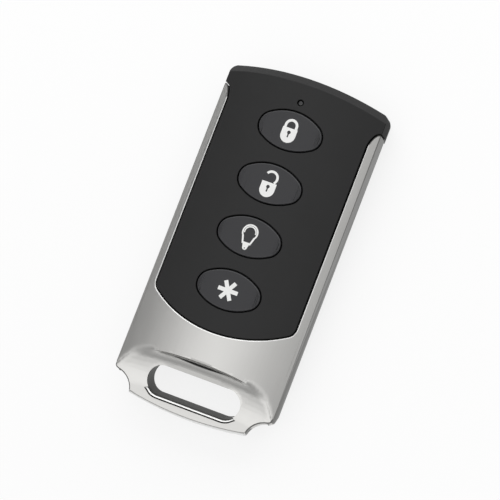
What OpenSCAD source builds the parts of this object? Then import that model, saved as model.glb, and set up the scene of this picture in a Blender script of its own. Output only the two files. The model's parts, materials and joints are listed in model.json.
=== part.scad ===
// Alarm key fob: a cast metal surround with a key ring loop, black front and rear covers,
// four oval keys over tactile switches, and a coin cell transmitter board.
// It lies on its back. X is its width, +Y points to the shoulder end, +Z out of the front face.

/* [Body] */
// Width across the metal arms
body_w = 33.3; // [32:0.1:36]
// Radius of the curve across the front face
crown_r = 42; // [38:1:60]
// Height of the rear cover below the metal
rear_h = 3.4; // [3:0.1:3.8]
// Radius of the curve across the back, either side of its flat
back_r = 60; // [50:1:90]
// Width of the flat that the back rests on
back_flat_w = 22; // [18:0.5:24]
// How far the rear cover stays inside the metal's outline
rear_inset = 1; // [0.7:0.1:1.4]
// How far it stays inside the shoulder's sides
rear_shoulder_inset = 0.3; // [0:0.1:0.6]

/* [Front cover] */
// Length of the full-width shoulder at the top end
shoulder_l = 5.4; // [5.1:0.05:5.7]
// Radius of the top edge, seen from the front
top_r = 86; // [60:1:110]
// Radius of the shoulder's outer corners
shoulder_r = 1.5; // [1.2:0.1:3]
// Length of the sloped bevel along the top edge
bevel_l = 1.5; // [0.8:0.1:2]
// Slope of that bevel
bevel_angle = 40; // [30:1:50]
// Radius of the panel's lower edge
panel_r = 24.3; // [22:0.1:30]
// Radius of the panel's lower corners
panel_corner_r = 2.4; // [2:0.1:3]
// Length over which an arm rounds off to its tip
arm_tip_l = 3.3; // [2:0.1:4]

/* [Keys] */
// Length of a key across the face
key_w = 12.9; // [11:0.1:13.5]
// Length of a key along the body
key_h = 7.6; // [6.4:0.1:7.8]
// Distance from one key to the next
key_pitch = 11.1; // [10.6:0.1:12]
// Gap round a key
key_gap = 0.3; // [0.2:0.05:0.4]
// Width of the flange that keeps a key under the cover
key_flange_w = 0.6; // [0.4:0.1:0.7]
// Height of that flange at the middle of the key
key_flange_h = 1.1; // [1:0.1:1.6]
// How far a key stands proud of the cover
key_proud = 0.1; // [0:0.05:0.3]
// How far a key travels when it is pressed
key_travel = 0.4; // [0.2:0.05:0.45]

/* [Lengths along the body] */
// Top edge to the indicator hole
led_drop = 5.25; // [4.8:0.05:5.6]
// Indicator hole to the middle of the first key
led_to_key = 5.85; // [5.7:0.05:7]
// Middle of the last key to the panel's lower edge
key_to_panel_end = 8.8; // [8.4:0.1:11]
// Panel's lower edge to the crest of the scoop
brow_l = 6.2; // [5.3:0.1:8]
// Crest of the scoop to the key ring slot
scoop_to_slot = 2.5; // [2.3:0.1:5]

/* [Key ring loop] */
// Thickness of the loop
loop_t = 4; // [3.4:0.1:4.4]
// Length of the slot across the body
slot_l = 19.5; // [16:0.5:20]
// Width of the slot along the body
slot_w = 5.95; // [5.6:0.05:7]
// Radius of the slot's long edges
slot_r = 52; // [40:1:80]
// Lean of the slot's axis towards the tail
slot_lean = 17; // [0:1:18]
// Metal between the slot and the tail
loop_bar = 2.6; // [2.2:0.05:4]
// Radius of the tail edge, seen from the front
tail_r = 67; // [45:1:90]
// Rounding of the tail edge on top
tail_round = 0.6; // [0.4:0.1:1.3]
// Rounding of the tail edge underneath
tail_under_r = 1.7; // [1:0.1:2]
// Chamfer under the hollows either side of the loop
hollow_chamfer = 2; // [0.6:0.1:2.2]
// Radius of the hollow either side of the loop
waist_r = 4.2; // [3.4:0.1:4.6]
// Half width of the loop at its waist
waist_x = 12.3; // [11.8:0.1:12.5]
// Radius of the scoop's crest, seen from the front
scoop_r = 115; // [60:1:150]
// Run of the scoop from its crest to the flat of the loop
scoop_run = 9.5; // [8:0.1:12]
// Rounding of the metal's lower corners
tail_corner_r = 0.8; // [0.3:0.1:1.2]

/* [Walls] */
// Width of a metal arm on the front face
arm_w = 1.7; // [1.5:0.1:2]
// Width of the ledge inside an arm
ledge_w = 0.9; // [0.6:0.1:1]
// Height of that ledge
ledge_h = 1; // [0.8:0.1:1.2]
// Thickness of the metal over the lower pocket
roof_t = 1.6; // [1.2:0.1:2]
// Metal between the lower pocket and the scoop
pocket_wall = 1.3; // [1.2:0.1:1.5]
// Thickness of the front cover
cover_t = 1.4; // [1.2:0.1:1.6]
// Thickness of the front cover's skirt and of the rear cover's lip
skirt_t = 1.1; // [0.9:0.1:1.2]
// Thickness of the front cover's wall at the top end
top_wall = 1.75; // [1.5:0.05:2]
// Thickness of the rear cover's floor
floor_t = 1.4; // [1.2:0.1:1.6]
// Thickness of the ribs round the cell
rib_t = 0.8; // [0.6:0.1:0.9]

/* [Cell] */
// Diameter of the coin cell
cell_d = 20; // [18:0.5:20]
// Height of the coin cell
cell_h = 3.2; // [2.6:0.1:3.4]
// Wall of the cell's can
can_t = 0.3; // [0.2:0.05:0.4]
// Middle of the cell below the first key
cell_drop = 20.5; // [19.5:0.5:22]
// Thickness of the clip's spring strip
clip_t = 0.25; // [0.15:0.05:0.3]
// Width of the clip's strip
clip_w = 6; // [4:0.5:8]
// Height of the sprung negative contact
contact_h = 0.3; // [0.2:0.05:0.5]
// Diameter of the negative contact
contact_d = 7; // [5:0.5:9]

/* [Board and switches] */
// Thickness of the circuit board
board_t = 1; // [0.8:0.1:1.2]
// Side of a switch
switch_w = 4.5; // [4:0.1:5]
// Height of a switch's moulded base
switch_base_h = 1.5; // [1.4:0.1:2]
// Thickness of a switch's metal cover
switch_cover_t = 0.2; // [0.15:0.05:0.3]
// Diameter of a switch's plunger
plunger_d = 2; // [1.6:0.1:2.4]
// Diameter of the snap dome under a plunger
dome_d = 3.4; // [3:0.1:3.6]
// Thickness of the snap dome
dome_t = 0.08; // [0.06:0.01:0.1]
// Diameter of the indicator's light pipe
pipe_d = 1.2; // [1:0.05:1.5]
// Depth of the light pipe's tip below the face
pipe_sunk = 0.35; // [0.1:0.05:0.6]

/* [Chips] */
// Width of the code chip
chip_w = 3.9; // [3:0.1:4.4]
// Length of the code chip
chip_l = 4.9; // [4.6:0.1:6]
// Height of the code chip
chip_h = 1.4; // [1:0.1:1.6]
// Distance from one lead of the code chip to the next
lead_pitch = 1.27; // [1:0.01:1.27]
// Width of a lead
lead_w = 0.4; // [0.3:0.05:0.5]
// Reach of a lead beside the chip
lead_l = 0.9; // [0.7:0.05:1.1]
// Thickness of a lead
lead_t = 0.15; // [0.1:0.01:0.2]
// Distance of the leads from the board's edge
chip_margin = 1.35; // [0.8:0.05:1.6]
// Side of the radio resonator
resonator_w = 3.8; // [3:0.1:4]
// Height of the radio resonator
resonator_h = 1.2; // [0.8:0.1:1.5]
// Length of the radio transistor
transistor_l = 2.9; // [2:0.1:3]
// Width of the radio transistor
transistor_w = 1.3; // [1.2:0.1:1.6]
// Height of the radio transistor
transistor_h = 1; // [0.8:0.1:1.2]
// Length of a chip resistor or capacitor
passive_l = 1.6; // [1:0.1:2]
// Width of a chip resistor or capacitor
passive_w = 0.8; // [0.5:0.1:1.2]
// Height of a chip resistor or capacitor
passive_h = 0.5; // [0.3:0.05:0.6]
// Length of the loop aerial across the board
track_l = 14.8; // [12:0.1:15]
// Reach of the loop aerial along the board
track_reach = 4.5; // [3:0.1:5]
// Width of the aerial's track
track_w = 0.9; // [0.5:0.1:1]
// Thickness of the aerial's track
track_t = 0.07; // [0.03:0.01:0.1]
// Length of the indicator lamp
led_l = 1.6; // [1.2:0.1:2]
// Width of the indicator lamp
led_w = 0.8; // [0.6:0.1:1]
// Height of the indicator lamp
led_h = 0.6; // [0.4:0.05:0.7]

/* [Fasteners] */
// Thread diameter of a case screw
screw_d = 1.8; // [1.6:0.1:2]
// Diameter of a screw head
head_d = 3.4; // [3:0.1:3.8]
// Height of a screw head
head_h = 1.1; // [0.8:0.1:1.2]
// Length of a screw's thread above the rear cover
screw_grip = 3; // [2:0.1:3.4]
// Diameter of a screw boss
boss_d = 4.2; // [3.8:0.1:4.4]
// Distance of the screws from the side of the panel's opening, at the shoulder end
boss_side = 3.8; // [3.7:0.05:3.9]
// Distance of the screws from the middle, at the loop end
tail_boss_x = 10.2; // [9.8:0.1:10.6]
// Top edge to the upper screws
boss_drop = 6.7; // [6.5:0.1:7.1]
// Diameter of a board post
post_d = 2.6; // [2.2:0.1:2.8]
// Diameter of the pin on a board post
post_pin_d = 1.2; // [1:0.1:1.4]

/* [Fits] */
// Seam between the front cover and the metal
seam = 0.25; // [0.15:0.05:0.35]
// Clearance of parts that are fitted together
fit = 0.1; // [0.05:0.05:0.15]
// Clearance of parts that slide
slide = 0.1; // [0.05:0.05:0.15]
// Clearance round the board
board_clear = 0.25; // [0.2:0.05:0.4]

/* [Hidden] */
$fn = 96;
key_count = 4;
// Room past a face that a cut runs clear of it
over = 1;

// Room that a key's travel needs above a switch and inside it
plunger_out = key_travel + 0.4;
dome_h = key_travel + 0.2;

// Heights, stacked from the table up to the crest of the front face
clip_z = floor_t + 0.15;
cell_z = clip_z + clip_t;
cell_top = cell_z + cell_h;
board_z = cell_top + contact_h;
board_top = board_z + board_t;
base_top = board_top + switch_base_h;
switch_top = base_top + switch_cover_t;
key_z = switch_top + plunger_out;
crest = key_z + key_flange_h + slide + cover_t;
ledge_z = board_z - 0.4;
ledge_top = ledge_z + ledge_h;
loop_top = rear_h + loop_t;
scoop_h = crest - loop_top;
head_seat_z = head_h + 0.6;

// Places along the body, with the middle of its length at Y 0
total_l = led_drop + led_to_key + (key_count - 1) * key_pitch + key_to_panel_end + brow_l
          + scoop_to_slot + slot_w + loop_bar;
top_y = total_l / 2;
tail_y = -total_l / 2;
led_y = top_y - led_drop;
first_key_y = led_y - led_to_key;
last_key_y = first_key_y - (key_count - 1) * key_pitch;
panel_end_y = last_key_y - key_to_panel_end;
scoop_y = panel_end_y - brow_l;
slot_y = scoop_y - scoop_to_slot - slot_w / 2;
shoulder_y = top_y - shoulder_l;
arm_round_y = shoulder_y - seam - arm_tip_l;
rear_shoulder_y = shoulder_y - 2 * seam;
pocket_y = scoop_y + pocket_wall;
rear_end_y = pocket_y - 1.1;
waist_y = tail_y + 0.55;
side_end_y = waist_y + waist_r;
cell_y = first_key_y - cell_drop;
tail_boss_y = pocket_y + fit + skirt_t + boss_d / 2 + 0.3;
upper_post_y = first_key_y - 4;
lower_post_y = last_key_y - 1.7;

// Places across the body
half_w = body_w / 2;
open_x = half_w - arm_w;
boss_x = open_x - boss_side;
hollow_x = waist_x + waist_r;
board_inset = seam + skirt_t + board_clear;
post_x = open_x - board_inset - post_d / 2 - 0.5;
clip_x = cell_d / 2 + 0.8;
clip_foot_l = 1.5;
chip_x = open_x - board_inset - chip_margin - lead_l - chip_w / 2;
bevel_r = crown_r - 3;
hook_w = 8;
hook_l = 2;
hook_t = 1.2;

// Inside a switch: the well, the dome on its floor and the plunger on the dome
guide_play = 0.1;
well_d = dome_d + 0.2;
well_z = board_top + 0.4;
plunger_z = well_z + dome_h;
plunger_flange_d = dome_d - 0.4;
plunger_flange_z = base_top - 0.05;
terminal_w = 0.7;
terminal_l = 0.9;
terminal_t = 0.15;

// Small clearances: thread in its pilot hole, light pipe in its hole, parts of the cell
thread_play = 0.03;
pipe_play = 0.05;
cell_play = 0.02;
well_play = 0.2;

// Places of the chips on the board: between two keys, with the small parts in rows below them
chip_y = (key_y(1) + key_y(2)) / 2;
passive_y = chip_y - chip_l - transistor_w;
track_y = led_y + led_w / 2 + 0.1 + track_w;

// The coin cell: an outer can, the gasket inside it, and the cap that the gasket insulates
can_h = cell_h - 0.3;
gasket_t = 0.5;
cap_d = cell_d - 2 * (can_t + gasket_t + 2 * cell_play);

// Distance that a curve's facets may stay off it
curve_error = 0.006;

function key_y(i) = first_key_y - i * key_pitch;

// Radius that joins the middle of an end to corners of radius rc, over a depth and a half width
function end_radius(depth, half, rc) =
    (pow(depth, 2) + pow(half - rc, 2) - pow(rc, 2)) / (2 * (depth - rc));

// Everything below the front face, or below a face that lies a depth under it
module under_crown(depth = 0) {
    translate([0, 0, crest - crown_r])
        rotate([90, 0, 0])
            cylinder(r = crown_r - depth, h = 2 * total_l, center = true);
}

// Points along an arc, as fine as the curve error allows, without its last point
function arc(x, y, r, from, to) =
    let (count = max(2, ceil(abs(to - from) / (2 * acos(1 - curve_error / r)))))
        [for (i = [0:count - 1]) [x + r * cos(from + (to - from) * i / count),
                                  y + r * sin(from + (to - from) * i / count)]];

// A plate of half width h whose -Y end is an arc of radius r with corners of radius rc
module arched_plate(h, r, rc, y_end, y_far) {
    arc_y = y_end + r;
    corner_x = h - rc;
    corner_y = arc_y - sqrt(pow(r - rc, 2) - pow(corner_x, 2));
    turn = atan2(corner_x, arc_y - corner_y);
    polygon(concat([[h, y_far]],
                   arc(corner_x, corner_y, rc, 0, turn - 90),
                   arc(0, arc_y, r, turn - 90, -turn - 90),
                   arc(-corner_x, corner_y, rc, -turn - 90, -180),
                   [[-h, corner_y], [-h, y_far]]));
}

// A key's oval, grown by a margin: two flat arcs and two tight ones
module oval(grow = 0) {
    end_r = 0.7 * key_h / 2;
    long_r = end_radius(key_h / 2, key_w / 2, end_r);
    end_x = key_w / 2 - end_r;
    long_y = long_r - key_h / 2;
    turn = atan2(end_x, long_y);
    polygon(concat(arc(end_x, 0, end_r + grow, turn - 90, 90 - turn),
                   arc(0, -long_y, long_r + grow, 90 - turn, 90 + turn),
                   arc(-end_x, 0, end_r + grow, 90 + turn, 270 - turn),
                   arc(0, long_y, long_r + grow, 270 - turn, 270 + turn)));
}

// The opening between the arms, drawn in by an inset
module panel_shape(inset, y_far = top_y) {
    arched_plate(open_x - inset, panel_r - inset, max(panel_corner_r - inset, 0.4),
                 panel_end_y + inset, y_far);
}

// The shoulder end of the case for a half width, drawn in by an inset, down to y_near
module shoulder_shape(inset, half, y_near) {
    mirror([0, 1])
        arched_plate(half, top_r - inset, max(shoulder_r - inset, 0.4), inset - top_y, -y_near);
}

// The pocket that the rear cover's lip fits into, drawn in by an inset
module pocket_shape(inset) {
    intersection() {
        shoulder_shape(top_wall + inset, open_x - inset, tail_y);
        arched_plate(open_x - inset, 10 * body_w, 3 - inset, pocket_y + inset, top_y);
    }
}

// The strip of the face that an arm takes up, with its rounded tip, grown by a gap
module arm_shape(gap = 0) {
    tip_corner = 0.6 * arm_w;
    tip_r = end_radius(arm_w, arm_tip_l, tip_corner);
    for (side = [0, 1])
        mirror([side, 0]) {
            translate([open_x - gap, tail_y])
                square([arm_w + gap, arm_round_y - tail_y]);
            intersection() {
                translate([0, arm_round_y])
                    rotate(-90)
                        arched_plate(arm_tip_l + gap, tip_r + gap, tip_corner + gap, open_x - gap, body_w);
                translate([0, tail_y])
                    square([half_w, total_l]);
            }
        }
}

// The metal's outline: straight sides, two hollows that make the waist, and an arched tail
module metal_outline() {
    difference() {
        intersection() {
            union() {
                arm_shape();
                translate([-half_w, tail_y])
                    square([body_w, arm_round_y - tail_y]);
            }
            translate([0, tail_y + tail_r])
                circle(tail_r);
        }
        for (side = [0, 1])
            mirror([side, 0]) {
                translate([hollow_x, waist_y])
                    circle(waist_r);
                translate([hollow_x, tail_y - over])
                    square([half_w, side_end_y - tail_y + over]);
                translate([half_w - tail_corner_r, side_end_y + tail_corner_r])
                    difference() {
                        translate([0, -tail_corner_r - over])
                            square(tail_corner_r + over);
                        circle(tail_corner_r);
                    }
            }
    }
}

// The key ring slot: round ends between two shallow arcs
module slot_shape() {
    intersection() {
        union() {
            square([slot_l - slot_w, slot_w], center = true);
            for (side = [-1, 1])
                translate([side * (slot_l - slot_w) / 2, 0])
                    circle(d = slot_w);
        }
        for (side = [0, 1])
            mirror([0, side])
                translate([0, slot_w / 2 - slot_r])
                    circle(slot_r);
    }
}

module at_upper_screws() {
    for (side = [-1, 1])
        translate([side * boss_x, top_y - boss_drop, 0])
            children();
}

module at_tail_screws() {
    for (side = [-1, 1])
        translate([side * tail_boss_x, tail_boss_y, 0])
            children();
}

module at_posts() {
    for (side = [-1, 1], y = [upper_post_y, lower_post_y])
        translate([side * post_x, y, 0])
            children();
}

module at_keys() {
    for (i = [0:key_count - 1])
        translate([0, key_y(i), 0])
            children();
}

// The rounded rim of the tail, as a disc that bounds the metal
module tail_disc() {
    rise = 20;
    rim_x = tail_r - tail_round * (1 - sin(rise));
    rim_z = loop_top - tail_round * (1 - cos(rise));
    translate([0, tail_y + tail_r, 0])
        rotate_extrude()
            polygon(concat([[0, crest], [0, rear_h], [tail_r - tail_under_r, rear_h]],
                           arc(tail_r - tail_under_r, rear_h + tail_under_r, tail_under_r, -90, 0),
                           arc(tail_r - tail_round, loop_top - tail_round, tail_round, 0, 90 - rise),
                           [[rim_x, rim_z], [rim_x - (crest - rim_z) / tan(rise), crest]]));
}

// The scoop over the loop: upright at its curved crest, and sweeping out to the loop's flat
module scoop_cut() {
    crest_r = 0.7 * scoop_h;
    sweep_r = end_radius(scoop_h, scoop_run, crest_r);
    sweep_x = scoop_r - scoop_run;
    sweep_z = loop_top + sweep_r;
    corner_x = scoop_r - crest_r;
    corner_z = sweep_z - sqrt(pow(sweep_r - crest_r, 2) - pow(scoop_run - crest_r, 2));
    turn = atan2(scoop_run - crest_r, sweep_z - corner_z);
    translate([0, scoop_y - scoop_r, 0])
        rotate_extrude()
            polygon(concat([[0, crest + over], [0, loop_top]],
                           arc(sweep_x, sweep_z, sweep_r, -90, turn - 90),
                           arc(corner_x, corner_z, crest_r, turn - 90, 0),
                           [[scoop_r, corner_z], [scoop_r, crest + over]]));
}

module metal_body() {
    difference() {
        intersection() {
            translate([0, 0, rear_h])
                linear_extrude(crest)
                    metal_outline();
            under_crown();
            tail_disc();
        }
        // The chamfers under the hollows
        for (side = [-1, 1])
            translate([side * hollow_x, waist_y, rear_h])
                cylinder(r1 = waist_r + hollow_chamfer, r2 = waist_r, h = hollow_chamfer);
        // The panel's opening, above the ledge
        translate([0, 0, ledge_top])
            linear_extrude(crest)
                panel_shape(0);
        // The pocket below the ledge, the gap between the ledges, and the room under the roof
        translate([0, 0, rear_h - over])
            linear_extrude(ledge_z - rear_h + over)
                pocket_shape(0);
        intersection() {
            translate([0, 0, rear_h])
                linear_extrude(crest)
                    pocket_shape(ledge_w);
            under_crown(roof_t);
        }
    }
}

module metal_surround() {
    color("silver")
        difference() {
            union() {
                metal_body();
                intersection() {
                    at_tail_screws()
                        translate([0, 0, rear_h])
                            cylinder(d = boss_d, h = crest);
                    under_crown(roof_t / 2);
                }
            }
            scoop_cut();
            translate([0, slot_y, loop_top])
                rotate([slot_lean, 0, 0])
                    linear_extrude(2 * crest, center = true)
                        slot_shape();
            at_tail_screws()
                translate([0, 0, rear_h - over])
                    cylinder(d = screw_d + 2 * thread_play, h = screw_grip + 0.5 + over);
        }
}

// The front cover before it is hollowed: the panel, and the shoulder block down to the rear cover
module front_block() {
    intersection() {
        union() {
            translate([0, 0, ledge_top])
                linear_extrude(crest)
                    difference() {
                        union() {
                            panel_shape(seam, shoulder_y);
                            shoulder_shape(0, half_w, arm_round_y);
                        }
                        arm_shape(seam);
                    }
            translate([0, 0, rear_h])
                linear_extrude(crest)
                    difference() {
                        shoulder_shape(0, half_w, arm_round_y + seam);
                        arm_shape(seam);
                    }
        }
        under_crown();
        // The bevel along the top edge is a curve like the front's, tipped forward
        translate([0, top_y - bevel_l, crest])
            rotate([90 - bevel_angle, 0, 0])
                translate([0, -bevel_r, 0])
                    cylinder(r = bevel_r, h = 4 * total_l, center = true);
    }
}

module front_cover() {
    color([0.06, 0.06, 0.065])
        difference() {
            union() {
                difference() {
                    front_block();
                    intersection() {
                        linear_extrude(crest)
                            intersection() {
                                panel_shape(seam + skirt_t);
                                shoulder_shape(top_wall, half_w, tail_y);
                            }
                        under_crown(cover_t);
                    }
                    translate([0, 0, rear_h - over])
                        linear_extrude(ledge_z - rear_h + over)
                            pocket_shape(0);
                }
                // Screw bosses, the posts that hold the board down, and the hook under the metal
                intersection() {
                    union() {
                        at_upper_screws()
                            translate([0, 0, rear_h])
                                cylinder(d = boss_d, h = crest);
                        at_posts()
                            translate([0, 0, board_top])
                                cylinder(d = post_d, h = crest);
                    }
                    under_crown(cover_t / 2);
                }
                intersection() {
                    translate([-hook_w / 2, panel_end_y - hook_l, crest - roof_t - fit - hook_t])
                        cube([hook_w, hook_l + seam + skirt_t / 2, crest]);
                    under_crown(roof_t + fit);
                }
            }
            at_keys()
                translate([0, 0, ledge_top])
                    linear_extrude(crest)
                        oval(key_gap);
            translate([0, led_y, board_top])
                cylinder(d = pipe_d + 2 * pipe_play, h = crest);
            at_upper_screws()
                translate([0, 0, rear_h - over])
                    cylinder(d = screw_d + 2 * thread_play, h = screw_grip + 0.5 + over);
        }
}

// The rear cover before it is hollowed: a tray with a curved back, flush with the shoulder, and its lip
module rear_block() {
    intersection() {
        linear_extrude(rear_h)
            union() {
                intersection() {
                    shoulder_shape(rear_inset, half_w - rear_inset, tail_y);
                    arched_plate(half_w - rear_inset, 10 * body_w, 3, rear_end_y, top_y);
                }
                shoulder_shape(0, half_w - rear_shoulder_inset, rear_shoulder_y);
            }
        translate([0, 0, sqrt(pow(back_r, 2) - pow(back_flat_w / 2, 2))])
            rotate([90, 0, 0])
                cylinder(r = back_r, h = 2 * total_l, center = true);
    }
    translate([0, 0, floor_t])
        linear_extrude(ledge_z - floor_t)
            pocket_shape(fit);
}

// The well for a screw's head, and the hole for its thread
module screw_well() {
    translate([0, 0, -over])
        cylinder(d = head_d + 2 * well_play, h = head_seat_z + over);
    cylinder(d = screw_d + 2 * fit, h = crest);
}

// The ring that keeps the cell in its place, open where the clip crosses it
module cell_ring() {
    difference() {
        cylinder(d = cell_d + 2 * (rib_t + well_play), h = cell_z + cell_h / 2);
        cylinder(d = cell_d + 2 * well_play, h = crest);
        translate([-half_w, -clip_w / 2 - 0.5, 0])
            cube([body_w, clip_w + 1, crest]);
    }
}

module rear_cover() {
    root_z = floor_t / 2;
    color([0.06, 0.06, 0.065])
        difference() {
            union() {
                difference() {
                    rear_block();
                    translate([0, 0, floor_t])
                        linear_extrude(crest)
                            pocket_shape(fit + skirt_t);
                }
                // Screw pillars, board posts with their pins, and the ring round the cell
                translate([0, 0, root_z]) {
                    at_upper_screws()
                        cylinder(d = boss_d + 0.8, h = rear_h - root_z);
                    at_tail_screws()
                        cylinder(d = boss_d + 0.8, h = rear_h - root_z);
                    at_posts() {
                        cylinder(d = post_d, h = board_z - root_z);
                        cylinder(d = post_pin_d, h = board_top - 0.2 - root_z);
                    }
                }
                intersection() {
                    translate([0, cell_y, 0])
                        cell_ring();
                    translate([-half_w, tail_y, root_z])
                        cube([body_w, total_l, crest]);
                }
            }
            at_upper_screws()
                screw_well();
            at_tail_screws()
                screw_well();
        }
}

module key_cap(i) {
    color([0.1, 0.1, 0.11])
        translate([0, key_y(i), 0])
            difference() {
                union() {
                    intersection() {
                        translate([0, 0, key_z])
                            linear_extrude(crest)
                                oval();
                        under_crown(-key_proud);
                    }
                    intersection() {
                        translate([0, 0, key_z])
                            linear_extrude(crest)
                                oval(key_gap + key_flange_w);
                        under_crown(cover_t + slide);
                    }
                }
                // The hollow underside, round the stem that meets the plunger
                translate([0, 0, key_z - over])
                    linear_extrude(key_flange_h + over)
                        difference() {
                            oval(-1.2);
                            circle(d = plunger_d + 1);
                        }
            }
}

module lock_button() {
    key_cap(0);
}

module unlock_button() {
    key_cap(1);
}

module light_button() {
    key_cap(2);
}

module star_button() {
    key_cap(3);
}

module plunger(i) {
    color("dimgray")
        translate([0, key_y(i), 0]) {
            translate([0, 0, plunger_z])
                cylinder(d = plunger_flange_d, h = plunger_flange_z - plunger_z);
            translate([0, 0, plunger_z])
                cylinder(d = plunger_d, h = key_z - plunger_z);
        }
}

module lock_plunger() {
    plunger(0);
}

module unlock_plunger() {
    plunger(1);
}

module light_plunger() {
    plunger(2);
}

module star_plunger() {
    plunger(3);
}

module snap_dome(i) {
    dome_r = (pow(dome_d / 2, 2) + pow(dome_h, 2)) / (2 * dome_h);
    color("gold")
        translate([0, key_y(i), well_z])
            rotate_extrude()
                intersection() {
                    translate([0, dome_h - dome_r])
                        difference() {
                            circle(dome_r);
                            circle(dome_r - dome_t);
                        }
                    square([dome_d, dome_h + over]);
                }
}

module lock_snap_dome() {
    snap_dome(0);
}

module unlock_snap_dome() {
    snap_dome(1);
}

module light_snap_dome() {
    snap_dome(2);
}

module star_snap_dome() {
    snap_dome(3);
}

module switch_bases() {
    color([0.15, 0.15, 0.16])
        at_keys()
            difference() {
                translate([-switch_w / 2, -switch_w / 2, board_top])
                    cube([switch_w, switch_w, switch_base_h]);
                translate([0, 0, well_z])
                    cylinder(d = well_d, h = crest);
            }
}

module switch_covers() {
    cover_w = switch_w - 0.2;
    color("lightgray")
        at_keys()
            difference() {
                translate([-cover_w / 2, -cover_w / 2, base_top])
                    cube([cover_w, cover_w, switch_cover_t]);
                translate([0, 0, board_top])
                    cylinder(d = plunger_d + 2 * guide_play, h = crest);
            }
}

module switch_terminals() {
    color("lightgray")
        at_keys()
            for (x = [-1, 1], y = [-1, 1])
                translate([x * (switch_w + terminal_l) / 2, y * (switch_w - 1.4) / 2, board_top])
                    translate([-terminal_l / 2, -terminal_w / 2, 0])
                        cube([terminal_l, terminal_w, terminal_t]);
}

module circuit_board() {
    color("darkgreen")
        difference() {
            translate([0, 0, board_z])
                linear_extrude(board_t)
                    intersection() {
                        panel_shape(board_inset);
                        shoulder_shape(top_wall + skirt_t, half_w, tail_y);
                    }
            at_upper_screws()
                cylinder(d = boss_d + 2 * board_clear, h = crest);
            at_posts()
                cylinder(d = post_pin_d + 2 * fit, h = crest);
        }
}

module encoder_chip() {
    standoff = 0.1;
    mark_d = 0.6;
    color([0.08, 0.08, 0.09])
        translate([chip_x, chip_y, board_top])
            difference() {
                translate([-chip_w / 2, -chip_l / 2, standoff])
                    cube([chip_w, chip_l, chip_h - standoff]);
                translate([mark_d - chip_w / 2, chip_l / 2 - mark_d, chip_h - standoff])
                    cylinder(d = mark_d, h = over);
            }
}

module chip_leads() {
    knee_l = 2 * lead_t;
    knee_z = chip_h / 2;
    color("lightgray")
        translate([chip_x, chip_y, board_top])
            for (side = [0, 1], i = [-1.5:1:1.5])
                mirror([side, 0, 0])
                    translate([chip_w / 2, i * lead_pitch - lead_w / 2, 0]) {
                        translate([0, 0, knee_z - lead_t])
                            cube([knee_l, lead_w, lead_t]);
                        translate([knee_l - lead_t, 0, 0])
                            cube([lead_t, lead_w, knee_z]);
                        translate([knee_l - lead_t, 0, 0])
                            cube([lead_l - knee_l + lead_t, lead_w, lead_t]);
                    }
}

module saw_resonator() {
    rim_w = 0.25;
    rim_h = 0.9;
    lid_w = resonator_w - 2 * rim_w;
    color("gainsboro")
        translate([-chip_x, chip_y + chip_l / 2, board_top]) {
            translate([-resonator_w / 2, -resonator_w / 2, 0])
                cube([resonator_w, resonator_w, min(rim_h, resonator_h - 0.1)]);
            translate([-lid_w / 2, -lid_w / 2, 0])
                cube([lid_w, lid_w, resonator_h]);
        }
}

module rf_transistor() {
    color([0.08, 0.08, 0.09])
        translate([-chip_x, chip_y - chip_l / 2, board_top])
            translate([-transistor_l / 2, -transistor_w / 2, 0])
                cube([transistor_l, transistor_w, transistor_h]);
}

module chip_passives() {
    column_x = 0.625 * passive_l;
    color("tan")
        for (side = [-1, 1], column = [-1, 1], row = [0, 1])
            translate([side * chip_x + column * column_x, passive_y - 2 * row * passive_w, board_top])
                translate([-passive_l / 2, -passive_w / 2, 0])
                    cube([passive_l, passive_w, passive_h]);
}

module antenna_track() {
    color("goldenrod")
        translate([0, track_y, board_top])
            linear_extrude(track_t)
                difference() {
                    translate([-track_l / 2, -track_reach])
                        square([track_l, track_reach]);
                    translate([track_w - track_l / 2, -track_reach - over])
                        square([track_l - 2 * track_w, track_reach + over - track_w]);
                }
}

module status_led() {
    lens_l = 0.6 * led_l;
    color("mistyrose")
        translate([0, led_y, board_top]) {
            translate([-led_l / 2, -led_w / 2, 0])
                cube([led_l, led_w, led_h / 2]);
            translate([-lens_l / 2, -led_w / 2, 0])
                cube([lens_l, led_w, led_h]);
        }
}

module light_pipe() {
    collar_d = pipe_d + 0.5;
    pipe_z = board_top + led_h + 0.15;
    color("whitesmoke")
        translate([0, led_y, 0]) {
            translate([0, 0, pipe_z])
                cylinder(d = pipe_d, h = crest - pipe_sunk - pipe_z);
            translate([0, 0, crest - cover_t - 0.7])
                cylinder(d = collar_d, h = 0.65);
        }
}

module cell_can() {
    color("silver")
        translate([0, cell_y, cell_z])
            difference() {
                cylinder(d = cell_d, h = can_h);
                translate([0, 0, can_t])
                    cylinder(d = cell_d - 2 * can_t, h = cell_h);
            }
}

module cell_gasket() {
    color("ivory")
        translate([0, cell_y, cell_z + can_t])
            difference() {
                cylinder(d = cell_d - 2 * (can_t + cell_play), h = can_h - can_t);
                translate([0, 0, gasket_t / 2])
                    cylinder(d = cap_d + 2 * cell_play, h = cell_h);
            }
}

module cell_cap() {
    color("lightgray")
        translate([0, cell_y, cell_z + can_t + gasket_t / 2]) {
            cylinder(d = cap_d, h = can_h - can_t - gasket_t);
            cylinder(d = cap_d - 0.8, h = cell_h - can_t - gasket_t / 2);
        }
}

module battery_clip() {
    color("gainsboro")
        translate([0, cell_y - clip_w / 2, 0]) {
            translate([-clip_x - clip_t, 0, clip_z])
                cube([2 * (clip_x + clip_t), clip_w, clip_t]);
            for (side = [0, 1])
                mirror([side, 0, 0]) {
                    translate([clip_x, 0, clip_z])
                        cube([clip_t, clip_w, board_z - clip_z]);
                    translate([clip_x, 0, board_z - clip_t])
                        cube([clip_t + clip_foot_l, clip_w, clip_t]);
                }
        }
}

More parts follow.
